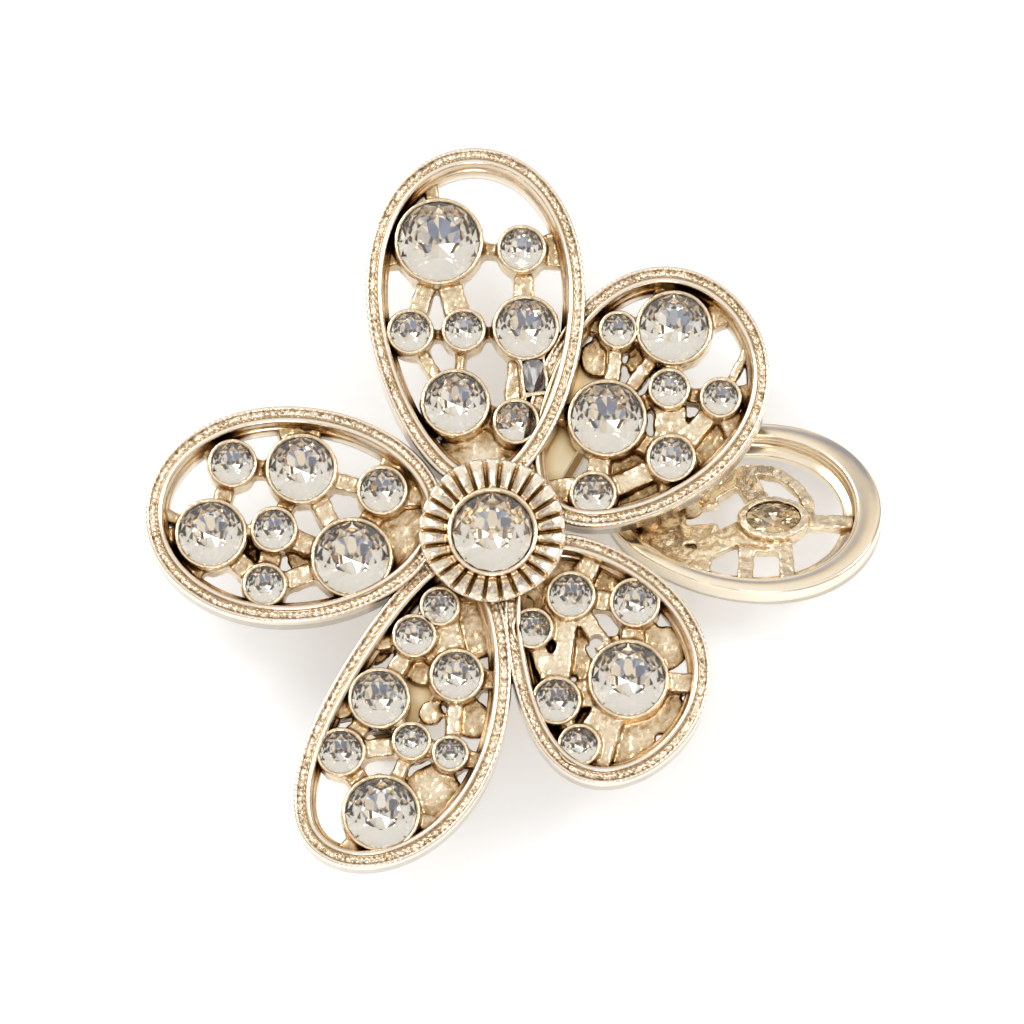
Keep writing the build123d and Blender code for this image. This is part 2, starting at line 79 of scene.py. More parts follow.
def metal(name, bright, mid, deep, roughness, grain_mm, lump_mm, reach_mm, dark=0.08, speck=0.0):
    """Plated metal with lumps of that size and height, specks, and painted shade: brown in recesses under
    reach_mm.
    """
    mat = bpy.data.materials.new(name)
    mat.use_nodes = True
    tree = mat.node_tree
    tree.nodes.clear()
    place = node(tree, "ShaderNodeTexCoord").outputs["Object"]
    shade = node(tree, "ShaderNodeAmbientOcclusion", Distance=reach_mm / 1000)
    shade.samples = 6
    noise = node(tree, "ShaderNodeTexNoise", Vector=place, Scale=1000 / grain_mm, Detail=3.0)
    spots = node(tree, "ShaderNodeMath")
    spots.operation = "MULTIPLY_ADD"
    tree.links.new(noise.outputs["Fac"], spots.inputs[0])
    spots.inputs[1].default_value = speck
    spots.inputs[2].default_value = -speck / 2
    # painted shade: the occlusion, with the random specks added, picks the colour, deep brown in recesses and
    # bright where open
    shade_and_specks = node(tree, "ShaderNodeMath")
    tree.links.new(shade.outputs["AO"], shade_and_specks.inputs[0])
    tree.links.new(spots.outputs["Value"], shade_and_specks.inputs[1])
    colour = ramp(tree, shade_and_specks.outputs["Value"], (dark, deep), (0.5 + dark / 2, mid), (0.96, bright))
    bump = node(tree, "ShaderNodeBump", Height=noise.outputs["Fac"], Strength=1.0, Distance=lump_mm / 1000)
    rough = node(tree, "ShaderNodeMapRange", Value=noise.outputs["Fac"])
    rough.inputs["To Min"].default_value = roughness * 0.7
    rough.inputs["To Max"].default_value = roughness * 1.4
    skin = node(tree, "ShaderNodeBsdfPrincipled", Base_Color=colour, Metallic=1.0,
                Roughness=rough.outputs["Result"], Normal=bump.outputs["Normal"])
    node(tree, "ShaderNodeOutputMaterial", Surface=skin.outputs["BSDF"])
    return mat


# Bright on the open ridges, with painted shade as a thin brown line in each step beside them.
rim_gold = metal("pale gold rim plate with painted shade", "FBEFDC", "C8A97C", "4A2E12", 0.18, 0.6, 0.015, 1.0, 0.35, 0.25)
# Rough and darker, with random specks and painted shade in the channel's hollows, so the channel reads as a
# grey-brown speckled stripe.
grain_gold = metal("granulated pale gold plate", "FFF4E2", "B0926A", "38240E", 0.25, 0.3, 0.1, 0.9, 0.25, 1.6)
MM = 0.001
# height of the petals' plain backs above the clip's underside, in mm
BACK = 7.7
# heading in degrees; root along and across the heading, length, width and height in mm
PETALS = {
    "petal_top": dict(bearing=92, along=3.5, across=0.6, length=28.5, width=17.5,
                      full=0.17, bow=0.1, height=3.3),
    "petal_left": dict(bearing=180, along=3.8, across=-1.7, length=24.0, width=17.8,
                       full=0.06, bow=0.0, height=3.0),
    "petal_upper_right": dict(bearing=53, along=4.0, across=-2.5, length=23.6, width=17.4,
                              full=0.17, bow=-0.6, height=3.0),
    "petal_bottom": dict(bearing=-113, along=2.0, across=-1.4, length=27.5, width=14.4,
                         full=0.2, bow=1.6, height=2.7),
    "petal_lower_right": dict(bearing=-67, along=1.4, across=3.0, length=21.3, width=15.5,
                              full=0.21, bow=1.5, height=2.7),
}


def turned(x, y, degrees):
    angle = math.radians(degrees)
    return x * math.cos(angle) - y * math.sin(angle), x * math.sin(angle) + y * math.cos(angle)


def egg(turn, length, width, full, bow, inset):
    """A point of the egg outline, moved inwards by inset. Full widens the tip, bow bends the whole."""
    share = (1 - math.cos(turn)) / 2
    x = length * share
    y = width / 2 * math.sin(turn) * (1 - full * math.cos(turn)) + 4 * bow * share * (1 - share)
    dx = length * math.sin(turn) / 2
    dy = width / 2 * (math.cos(turn) - full * math.cos(2 * turn)) + 2 * bow * (1 - 2 * share) * math.sin(turn)
    run = math.hypot(dx, dy)
    return x + inset * dy / run, y - inset * dx / run


def petal_place(p, turn, inset):
    """A point of a petal's outline, seen from above, in mm."""
    x, y = egg(turn, p["length"], p["width"], p["full"], p["bow"], inset)
    return turned(p["along"] + x, p["across"] + y, p["bearing"])


def edit(obj):
    """Only this object selected, in edit mode."""
    bpy.ops.object.select_all(action="DESELECT")
    bpy.context.view_layer.objects.active = obj
    obj.select_set(True)
    bpy.ops.object.mode_set(mode="EDIT")
    return bmesh.from_edit_mesh(obj.data)


def band(name, rings, closed=True):
    """A circle laid on the first ring, extruded from ring to ring, then bridged shut or capped."""
    count = len(rings[0])
    bpy.ops.mesh.primitive_circle_add(vertices=count, radius=0.01, fill_type="NOTHING" if closed else "NGON")
    obj = bpy.context.object
    obj.name = name
    mesh = edit(obj)
    mesh.verts.ensure_lookup_table()
    for k in range(count):
        mesh.verts[k].co = rings[0][k]
    bmesh.update_edit_mesh(obj.data)
    bpy.ops.mesh.select_all(action="SELECT")
    for ring, following in zip(rings, rings[1:]):
        if closed or ring is not rings[0]:
            bpy.ops.mesh.extrude_edges_move()
        else:
            bpy.ops.mesh.extrude_region_move()
        mesh = bmesh.from_edit_mesh(obj.data)
        spots = KDTree(count)
        for k, point in enumerate(ring):
            spots.insert(point, k)
        spots.balance()
        for v in mesh.verts:
            if v.select:
                v.co = following[spots.find(v.co)[1]]
        bmesh.update_edit_mesh(obj.data)
    if closed:
        bpy.ops.mesh.select_all(action="DESELECT")
        mesh = bmesh.from_edit_mesh(obj.data)
        for e in mesh.edges:
            e.select = len(e.link_faces) == 1
        bmesh.update_edit_mesh(obj.data)
        bpy.ops.mesh.bridge_edge_loops()
    elif len(rings) > 1:
        bpy.ops.mesh.edge_face_add()
    bpy.ops.mesh.select_all(action="SELECT")
    bpy.ops.mesh.normals_make_consistent(inside=False)
    bpy.ops.object.mode_set(mode="OBJECT")
    bpy.ops.object.shade_smooth()
    return obj


def done(obj, mat, slot, *nodes):
    """Gives a finished piece its material and body; slot is not used."""
    obj.data.materials.clear()
    obj.data.materials.append(mat)
    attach(obj, "root")
    if nodes:
        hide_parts(*nodes)


BEAD = 0.46
BEAD_POINTS = 4
BEAD_RISE = 0.07
# the foot of the band and its small bevelled edge lie at the petal's back, however high the petal is
FOOT = -9.0
FOOT_EDGE = -8.9
# inset from the outline in mm, depth under the top in mm, share of the bead's rise
RIM_PROFILE = [
    (0.1, FOOT, 0.0), (0.0, FOOT_EDGE, 0.0), (0.0, -0.5, 0.0), (0.01, -0.24, 0.1), (0.06, -0.08, 0.2),
    (0.17, -0.02, 0.3), (0.29, -0.05, 0.4), (0.37, -0.17, 0.5), (0.46, -0.32, 0.2), (0.6, -0.29, -1.0),
    (0.78, -0.29, -1.0), (0.9, -0.38, 0.0), (0.98, -0.14, 0.0), (1.04, -0.03, 0.0), (1.16, 0.0, 0.0),
    (1.3, -0.04, 0.0), (1.42, -0.16, 0.0), (1.46, -0.5, 0.0), (1.5, -0.96, 0.0), (1.7, -1.04, 0.0),
    (1.84, -1.16, 0.0), (1.86, FOOT_EDGE, 0.0), (1.8, FOOT, 0.0),
]
# steps of the profile that lie in the channel
CHANNEL = (6, 7, 8, 9)

for name, p in PETALS.items():
    top = BACK + p["height"]
    around = math.pi * (p["length"] + p["width"]) / 2
    count = round(around / BEAD) * BEAD_POINTS
    rings = []
    for inset, depth, swell in RIM_PROFILE:
        z = {FOOT: BACK, FOOT_EDGE: BACK + 0.1}.get(depth, top + depth)
        ring = []
        for k in range(count):
            grain = 0.6 + 0.5 * math.sin(2.7 * k) * math.sin(0.9 * k + 9 * inset)
            wave = math.cos(2 * math.pi * k / BEAD_POINTS + (math.pi if swell < 0 else 0))
            rise = BEAD_RISE * swell * grain * wave
            pinch = 0.03 * abs(rise) / BEAD_RISE if inset < 0.1 else 0
            x, y = petal_place(p, 2 * math.pi * k / count, inset + pinch)
            ring.append((x * MM, y * MM, (z + min(rise, 0.05) - (0.05 if swell > 0 else 0)) * MM))
        rings.append(ring)
    rim = band(name + "_rim", rings)
    done(rim, rim_gold, "pale_gold_plate", name)
    rim.data.materials.append(grain_gold)
    for face in rim.data.polygons:
        if face.index // count in CHANNEL:
            face.material_index = 1


# PETAL LATTICES
# Cups for the stones, the bars between them and the thin floors are cast in one with the rim. The bars are
# rounded and uneven, so the cups, bars and floors are melted into one skin.

# Lumpy as cast, golden on top and with painted shade in brown down between the cups.
cast_gold = metal("cast pale gold plate", "F6E6CA", "C3A273", "4A2F14", 0.22, 0.42, 0.08, 1.6, 0.12, 0.7)
# shares along the petal and across its half width, in the order of the stones' numbers
STONES = {
    "petal_top": [(0.73, 0.33), (0.70, -0.43), (0.47, 0.62), (0.47, 0.13), (0.47, -0.44), (0.26, 0.23),
                  (0.20, -0.32)],
    "petal_left": [(0.71, -0.47), (0.48, -0.42), (0.21, -0.22), (0.78, 0.18), (0.57, 0.14), (0.31, 0.40),
                   (0.60, 0.65)],
    "petal_upper_right": [(0.66, 0.53), (0.78, 0.13), (0.39, 0.11), (0.60, -0.18), (0.68, -0.61),
                          (0.41, -0.59), (0.15, -0.22)],
    "petal_bottom": [(0.18, -0.03), (0.29, -0.16), (0.50, -0.24), (0.35, 0.45), (0.69, -0.39),
                     (0.58, 0.28), (0.57, 0.73), (0.81, 0.29)],
    "petal_lower_right": [(0.26, 0.11), (0.38, 0.69), (0.32, -0.39), (0.64, 0.31), (0.61, -0.46),
                          (0.80, -0.43)],
}
# first cup, second cup, width in mm
LINKS = {
    "petal_top": [(1, 2, 1.1), (1, 3, 1.6), (1, 4, 2.1), (2, 5, 1.7), (3, 4, 0.9), (4, 5, 1.0),
                  (4, 6, 0.9), (3, 6, 1.1), (5, 7, 2.4), (6, 7, 2.0)],
    "petal_left": [(1, 2, 1.4), (1, 4, 1.6), (2, 3, 1.4), (2, 5, 1.4), (2, 6, 1.6), (3, 6, 1.8),
                   (4, 5, 1.2), (5, 6, 1.8), (5, 7, 1.8), (4, 7, 1.8), (7, 6, 1.6)],
    "petal_upper_right": [(1, 2, 1.2), (1, 3, 1.2), (2, 3, 1.2), (2, 4, 1.6), (3, 4, 1.4), (4, 5, 1.3),
                          (4, 6, 2.6), (3, 6, 1.6), (5, 6, 1.6), (3, 7, 1.8), (6, 7, 1.8)],
    "petal_bottom": [(1, 2, 1.6), (1, 4, 2.4), (2, 3, 1.5), (2, 4, 1.4), (3, 5, 1.6), (3, 6, 1.5),
                     (5, 6, 1.6), (4, 7, 1.2), (6, 7, 1.4), (5, 8, 1.8), (6, 8, 1.2)],
    "petal_lower_right": [(1, 2, 1.6), (1, 3, 1.6), (2, 4, 1.8), (1, 4, 1.4), (1, 5, 1.6), (3, 5, 1.4),
                          (4, 5, 2.2), (5, 6, 1.4), (4, 6, 2.0)],
}
# cup, heading from the petal's bearing in degrees, width in mm
TIES = {
    "petal_top": [(1, 7, 1.2), (1, 103, 1.6), (2, -68, 1.4), (2, -107, 1.4), (3, 88, 1.4),
                  (5, -114, 1.3), (6, 125, 1.8), (7, -92, 1.8)],
    "petal_left": [(1, -32, 1.4), (2, -100, 2.0), (2, -70, 2.0), (3, -111, 2.4), (3, 180, 2.4),
                   (4, 0, 1.4), (4, 60, 2.0), (4, -27, 1.0), (6, 105, 2.0), (6, 150, 2.6), (7, 85, 1.3)],
    "petal_upper_right": [(1, 107, 1.4), (2, 51, 1.8), (2, -35, 2.0), (5, -43, 1.6), (5, 13, 0.8),
                          (5, -113, 2.0), (6, -83, 1.6), (6, -143, 2.0), (3, 117, 1.5), (7, -130, 2.0)],
    "petal_bottom": [(2, -57, 1.2), (3, -52, 1.6), (5, -67, 1.2), (8, -22, 1.6), (8, 23, 1.8),
                     (8, 103, 1.4), (4, 113, 1.6), (7, 103, 1.4)],
    "petal_lower_right": [(1, 127, 1.8), (2, 107, 1.6), (4, 67, 1.6), (4, -40, 1.2), (6, -13, 1.4),
                          (5, -93, 1.4), (3, -113, 1.2)],
}
# shares along and across, radius in mm
FLOORS = {
    "petal_top": [(0.10, -0.05, 4.2)],
    "petal_left": [(0.10, 0.00, 3.2), (0.13, 0.38, 2.1), (0.14, -0.35, 1.6), (0.67, 0.33, 1.1),
                   (0.48, 0.37, 1.1)],
    "petal_upper_right": [(0.53, -0.66, 2.1), (0.35, -0.35, 2.1), (0.29, -0.64, 2.1), (0.42, -0.84, 1.4),
                          (0.56, 0.54, 1.6), (0.63, 0.19, 1.3), (0.17, -0.48, 1.8), (0.06, -0.10, 3.0),
                          (0.28, -0.18, 1.5), (0.52, -0.4, 1.4), (0.53, -0.86, 1.4), (0.24, -0.6, 1.6)],
    "petal_bottom": [(0.47, 0.33, 1.0), (0.44, 0.78, 1.6), (0.68, 0.71, 2.2), (0.20, 0.42, 2.2),
                     (0.37, 0.04, 1.1), (0.24, 0.25, 1.6), (0.08, 0.00, 3.4), (0.25, -0.46, 1.3),
                     (0.36, -0.5, 1.1)],
    "petal_lower_right": [(0.45, -0.40, 2.4), (0.38, 0.08, 1.4), (0.50, 0.60, 1.8), (0.71, -0.09, 1.9),
                          (0.85, 0.07, 2.2), (0.57, 0.80, 1.8), (0.10, 0.10, 3.6), (0.48, -0.10, 1.3),
                          (0.28, -0.12, 1.7), (0.62, -0.12, 1.5), (0.75, -0.55, 1.6), (0.44, -0.78, 1.4),
                          (0.78, 0.5, 2.0), (0.5, 0.3, 1.2), (0.27, 0.5, 1.6), (0.41, -0.64, 1.5),
                          (0.66, -0.66, 1.5), (0.70, -0.24, 1.2)],
}


def petal_point(p, along, across):
    """The point at those shares of a petal's length and half width, in mm."""
    x, y = turned(p["along"] + along * p["length"], p["across"] + across * p["width"] / 2, p["bearing"])
    return Vector((x, y, 0))


def post(place, radius, low, high):
    """A round block between two heights."""
    bpy.ops.mesh.primitive_cylinder_add(vertices=40, radius=radius * MM, depth=(high - low) * MM,
                                        location=Vector((place.x, place.y, (low + high) / 2)) * MM)
    return bpy.context.object


def rod(start, end, width, low, high):
    """A straight bar from place to place, between two heights."""
    run = end - start
    middle = (start + end) / 2
    bpy.ops.mesh.primitive_cube_add(size=1, location=Vector((middle.x, middle.y, (low + high) / 2)) * MM,
                                    rotation=(0, 0, math.atan2(run.y, run.x)),
                                    scale=(run.length * MM, width * MM, (high - low) * MM))
    obj = bpy.context.object
    bpy.ops.object.transform_apply(location=True, rotation=True, scale=True)
    return obj


def collar(place, inner, outer, low, high):
    """The bright lip of a cup: a thin ring, rounded on top."""
    rings = []
    profile = [(inner, low), (outer, low), (outer, high - 0.12), ((inner + outer) / 2 + 0.08, high),
               ((inner + outer) / 2 - 0.05, high), (inner, high - 0.1)]
    for radius, z in profile:
        rings.append([((place.x + radius * math.cos(2 * math.pi * k / 48)) * MM,
                       (place.y + radius * math.sin(2 * math.pi * k / 48)) * MM, z * MM) for k in range(48)])
    return band("collar", rings)


def melt(pieces, name, voxel, rounds):
    """Joins blocks into one skin and rounds it as a casting is."""
    bpy.ops.object.select_all(action="DESELECT")
    for piece in pieces:
        piece.select_set(True)
    bpy.context.view_layer.objects.active = pieces[0]
    bpy.ops.object.join()
    obj = bpy.context.object
    obj.name = name
    bpy.ops.object.transform_apply(location=True, rotation=True, scale=True)
    skin = obj.modifiers.new("skin", "REMESH")
    skin.mode = "VOXEL"
    skin.voxel_size = voxel * MM
    bpy.ops.object.modifier_apply(modifier="skin")
    soft = obj.modifiers.new("soft", "SMOOTH")
    soft.factor = 0.5
    soft.iterations = rounds
    bpy.ops.object.modifier_apply(modifier="soft")
    lumps = bpy.data.textures.new("casting", "CLOUDS")
    lumps.noise_scale = 1.1 * MM
    uneven = obj.modifiers.new("uneven", "DISPLACE")
    uneven.texture = lumps
    uneven.strength = 0.34 * MM
    uneven.mid_level = 0.5
    bpy.ops.object.modifier_apply(modifier="uneven")
    bpy.ops.object.shade_smooth()
    return obj


def cut(obj, tool, operation):
    """One boolean with a tool that is then thrown away."""
    step = obj.modifiers.new("cut", "BOOLEAN")
    step.operation = operation
    step.object = tool
    step.solver = "EXACT"
    bpy.ops.object.select_all(action="DESELECT")
    bpy.context.view_layer.objects.active = obj
    obj.select_set(True)
    bpy.ops.object.modifier_apply(modifier="cut")
    bpy.data.objects.remove(tool, do_unlink=True)


CUP_WALL = 0.34
LIP_WALL = 0.3
BAR_HEIGHT = 1.95
FLOOR_HEIGHT = 0.8
# inside line of the rim, where bars and floors end
RIM_INSIDE = 0.9
BAGUETTE_CUP = (2.3, 3.3)
BAGUETTE_SEAT = (1.66, 2.66)
# the one small hole in the floor of the lower right petal
PIERCING = Vector((8.3, -8.5, 0))

for name, p in PETALS.items():
    top = BACK + p["height"]
    centres = []
    blocks, holes, lips = [], [], []
    for number, (along, across) in enumerate(STONES[name], 1):
        low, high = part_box(f"{name}_stone_{number}")
        radius = (high.x - low.x) / 2 / MM
        place = petal_point(p, along, across)
        centres.append(place)
        blocks.append(post(place, radius + CUP_WALL, BACK, top - 0.32))
        holes.append(post(place, radius + 0.02, BACK + 0.3, top + 1))
        lips.append(collar(place, radius, radius + LIP_WALL, top - 0.7, top - 0.13))
    for first, second, width in LINKS[name]:
        blocks.append(rod(centres[first - 1], centres[second - 1], width, BACK, BACK + BAR_HEIGHT))
    edge = [Vector((*petal_place(p, 2 * math.pi * k / 120, 1.2), 0)) for k in range(120)]
    for cup, heading, width in TIES[name]:
        start = centres[cup - 1]
        x, y = turned(1, 0, p["bearing"] + heading)
        reach = Vector((x, y, 0))
        end = min(edge, key=lambda spot: (spot - start).length
                  / max(0.01, (spot - start).normalized().dot(reach)) ** 24)
        blocks.append(rod(start, end, width, BACK, BACK + BAR_HEIGHT))
    for along, across, radius in FLOORS[name]:
        blocks.append(post(petal_point(p, along, across), radius, BACK, BACK + FLOOR_HEIGHT))
    if name == "petal_top":
        low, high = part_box("petal_top_baguette")
        spot = (low + high) / 2 / MM
        lean = math.radians(p["bearing"] - 90 + 4)
        bpy.ops.mesh.primitive_cube_add(size=1, location=Vector((spot.x, spot.y, BACK + 1.5)) * MM,
                                        rotation=(0, 0, lean), scale=Vector((*BAGUETTE_CUP, 3.0)) * MM)
        blocks.append(bpy.context.object)
        bpy.ops.object.transform_apply(location=True, rotation=True, scale=True)
        bpy.ops.mesh.primitive_cube_add(size=1, location=Vector((spot.x, spot.y, BACK + 3)) * MM,
                                        rotation=(0, 0, lean), scale=Vector((*BAGUETTE_SEAT, 3.0)) * MM)
        holes.append(bpy.context.object)
    if name == "petal_lower_right":
        holes.append(post(PIERCING, 0.55, BACK - 1, top + 1))
    lattice = melt(blocks, name + "_lattice", 0.14, 12)
    outline = [petal_place(p, 2 * math.pi * k / 160, RIM_INSIDE) for k in range(160)]
    inside = [[(x * MM, y * MM, z * MM) for x, y in outline] for z in (BACK + 0.01, top)]
    cut(lattice, band("inside", inside, closed=False), "INTERSECT")
    bpy.ops.object.select_all(action="DESELECT")
    for hole in holes:
        hole.select_set(True)
    bpy.context.view_layer.objects.active = holes[0]
    bpy.ops.object.join()
    cut(lattice, holes[0], "DIFFERENCE")
    bpy.ops.object.select_all(action="DESELECT")
    for lip in lips:
        lip.select_set(True)
    lattice.select_set(True)
    bpy.context.view_layer.objects.active = lattice
    bpy.ops.object.join()
    done(lattice, cast_gold, "pale_gold_plate", name)


# ROSETTE
# A turned and pressed cup on a short stem: 26 flutes run up a dish to a scalloped edge, and a plain lip
# holds the centre stone.

FLUTES = 26
FLUTE_POINTS = 12
# radius, height, flute depth, all in mm
ROSETTE_PROFILE = [
    (2.0, 7.7, 0), (2.0, 9.2, 0), (4.4, 9.22, 0), (4.75, 9.9, 0), (5.3, 11.1, 0), (5.68, 11.75, 0.05),
    (5.88, 12.0, 0.1), (5.87, 12.18, 0.14), (5.72, 12.25, 0.25), (5.4, 12.2, 0.45), (4.95, 12.0, 0.6),
    (4.5, 11.74, 0.65), (4.15, 11.5, 0.55), (3.9, 11.34, 0.4), (3.75, 11.24, 0.1), (3.68, 11.5, 0),
    (3.58, 11.66, 0), (3.42, 11.68, 0), (3.27, 11.55, 0), (3.24, 11.2, 0), (1.8, 10.2, 0), (0.5, 9.4, 0),
]
rings = []
for radius, z, depth in ROSETTE_PROFILE:
    ring = []
    for k in range(FLUTES * FLUTE_POINTS):
        turn = 2 * math.pi * k / (FLUTES * FLUTE_POINTS)
        wide = 0.5 + 0.13 * math.sin(2.3 * (k // FLUTE_POINTS))
        groove = max(0, 1 - abs(math.sin(turn * FLUTES / 2)) / wide)
        swell = 0.12 * abs(math.sin(turn * FLUTES / 2)) if depth else 0
        dip = depth * groove - swell
        scallop = 0.4 * depth * groove + 0.05 * math.sin(5 * turn + 1) + 0.03
        out = radius - (scallop if radius > 5.5 else 0)
        ring.append((out * math.cos(turn) * MM, out * math.sin(turn) * MM, min(z - dip, 12.3) * MM))
    rings.append(ring)
rosette = band("rosette_cup", rings, closed=False)
# Softer and more polished than the petals, with painted shade in brown in the flutes.
pressed_gold = metal("pressed pale gold plate", "FBEFDA", "CBA772", "4E3214", 0.18, 0.5, 0.05, 1.4, 0.15, 0.5)
done(rosette, pressed_gold, "pale_gold_plate", "rosette")


# LEAF
# A polished open loop that leans back under the petals: a broad domed band, widest at the tip, with a
# small oval cup on bars inside and a plain floor where it is hidden.

# The smoothest plating of the piece: long pale reflections and hardly any grain.
leaf_gold = metal("polished pale gold plate", "FDF1DC", "DCC092", "6A4A24", 0.16, 2.5, 0.01, 1.1)
LENGTH = 22.4
WIDTH = 15.7
# width of the band at the root, at the tip and on both sides together
AT_ROOT = 1.35
AT_TIP = 2.2
AT_SIDES = 2.7
LEAF = dict(length=LENGTH, width=WIDTH, full=0.14, bow=0)
LEAF_OPEN = dict(length=LENGTH - AT_ROOT - AT_TIP, width=WIDTH - AT_SIDES, full=0.14, bow=0)
LEAF_ROOT = (9.0, 4.3)
LEAF_CUP = (22.6, 2.8)
CURL = (21.1, 3.3)
CURL_RADIUS = 4.5
# under and upper side of the bars, under the band's top
BARS_LOW = -2.05
BARS_HIGH = -1.05
# start and end in the leaf's plane and width, in mm
LEAF_BARS = [
    ((22.6, 2.8), (29.6, 2.9), 1.3), ((20.5, 2.0), (20.3, -2.6), 1.3), ((23.5, 2.0), (23.7, -2.4), 1.2),
    ((20.0, 0.5), (24.0, 0.5), 0.9), ((22.6, 2.8), (20.0, 7.6), 1.8), ((21.6, 2.8), (16.6, 0.2), 1.9),
    ((20.2, 7.3), (15.6, 4.3), 1.6), ((8.5, 3.4), (15.6, 2.9), 7.5), ((14.5, -0.4), (17.6, -0.9), 2.0),
    ((14.5, 1.6), (18.2, 1.9), 1.7), ((14.5, 4.6), (18.0, 5.6), 2.4),
]


def leaf_point(turn, share, inset=0):
    """Between the leaf's outer outline (0) and its opening (1), in the leaf's plane."""
    x0, y0 = egg(turn, inset=0, **LEAF)
    x1, y1 = egg(turn, inset=inset, **LEAF_OPEN)
    x, y = turned(x0 + (x1 + AT_ROOT - x0) * share, y0 + (y1 - y0) * share, -3)
    return LEAF_ROOT[0] + x, LEAF_ROOT[1] + y


lowest = min(leaf_point(2 * math.pi * k / 360, 0)[1] for k in range(360))
lean = math.radians(17)
leaf_frame = Matrix.Translation((0, 0, (7.8 + lowest * math.sin(lean)) * MM)) @ Matrix.Rotation(-lean, 4, "X")

# share of the way in, extra inset in mm, height in mm
LEAF_PROFILE = [
    (0.06, 0, -2.1), (0.0, 0, -2.0), (0.0, 0, -0.5), (0.02, 0, -0.22), (0.06, 0, -0.1), (0.12, 0, -0.05),
    (0.2, 0, -0.03), (0.5, 0, 0.0), (0.82, 0, -0.02), (0.88, 0, -0.04), (0.93, 0, -0.1), (0.98, 0, -0.3),
    (1.0, 0, -0.6), (1.0, 0, -1.35), (1.0, 0.25, -1.46), (1.0, 0.8, -1.5), (1.0, 0.9, -1.6), (1.0, 0.9, -2.1),
]
rings = []
for share, inset, z in LEAF_PROFILE:
    ring = []
    for k in range(220):
        x, y = leaf_point(2 * math.pi * k / 220, share, inset)
        ring.append(leaf_frame @ (Vector((x, y, z)) * MM))
    rings.append(ring)
leaf_band = band("leaf_band", rings)
done(leaf_band, leaf_gold, "pale_gold_plate", "leaf")

cx, cy = LEAF_CUP
blocks = []
bpy.ops.mesh.primitive_cylinder_add(vertices=48, radius=1, depth=1.9 * MM,
                                    location=Vector((cx, cy, -1.15)) * MM, scale=(2.9 * MM, 2.0 * MM, 1))
blocks.append(bpy.context.object)
bpy.ops.object.transform_apply(location=True, rotation=True, scale=True)
for start, end, width in LEAF_BARS:
    blocks.append(rod(Vector((*start, 0)), Vector((*end, 0)), width, BARS_LOW, BARS_HIGH))
for k in range(11):
    ends = []
    for degrees in (-8 + 10 * k, 4 + 10 * k):
        x, y = turned(CURL_RADIUS, 0, degrees)
        ends.append(Vector((CURL[0] + x, CURL[1] + y, 0)))
    blocks.append(rod(*ends, 0.95, BARS_LOW, BARS_HIGH))
leaf_work = melt(blocks, "leaf_work", 0.12, 8)
outline = [leaf_point(2 * math.pi * k / 160, 1, 0.1) for k in range(160)]
inside = [[(x * MM, y * MM, z * MM) for x, y in outline] for z in (-2.1, 0)]
cut(leaf_work, band("inside", inside, closed=False), "INTERSECT")
bpy.ops.mesh.primitive_cylinder_add(vertices=48, radius=1, depth=2 * MM,
                                    location=Vector((cx, cy, -0.6)) * MM, scale=(2.22 * MM, 1.47 * MM, 1))
cut(leaf_work, bpy.context.object, "DIFFERENCE")
leaf_work.data.transform(leaf_frame)
# two studs with flared feet carry the leaf under the rim of the upper right petal
for degrees in (286, 306):
    x, y = petal_place(PETALS["petal_upper_right"], math.radians(degrees), 0.95)
    foot = (leaf_frame @ (Vector((x, y / math.cos(lean), -1.8)) * MM)).z / MM
    rings = []
    for radius, z in [(0.3, foot), (1.35, foot), (1.2, foot + 0.7), (0.85, foot + 1.3), (0.85, BACK - 0.4),
                      (0.95, BACK - 0.04), (0.3, BACK - 0.04)]:
        rings.append([((x + radius * math.cos(2 * math.pi * k / 32)) * MM,
                       (y + radius * math.sin(2 * math.pi * k / 32)) * MM, z * MM) for k in range(32)])
    stud = band("stud", rings, closed=False)
    leaf_work.select_set(True)
    bpy.context.view_layer.objects.active = leaf_work
    bpy.ops.object.join()
done(leaf_work, cast_gold, "pale_gold_plate", "leaf")


# CLIP
# The plain plated clip behind the flower, bent and pressed from spring steel. Bar and tongue hold the
# lock of hair between them, and it hardly shows from the front.

# Duller and even, as on pressed steel.
clip_gold = metal("plain pale gold plate", "EEDCB8", "CDAF7C", "7A5428", 0.3, 3.0, 0.01, 1.0)
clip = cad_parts["clip"]
clip.data.materials.clear()
clip.data.materials.append(clip_gold)


# STONES
# Clear cut glass with a foil behind: light goes in through the crown, comes back from the foiled
# pavilion facets, and shows as grey-blue, cream and white patches.

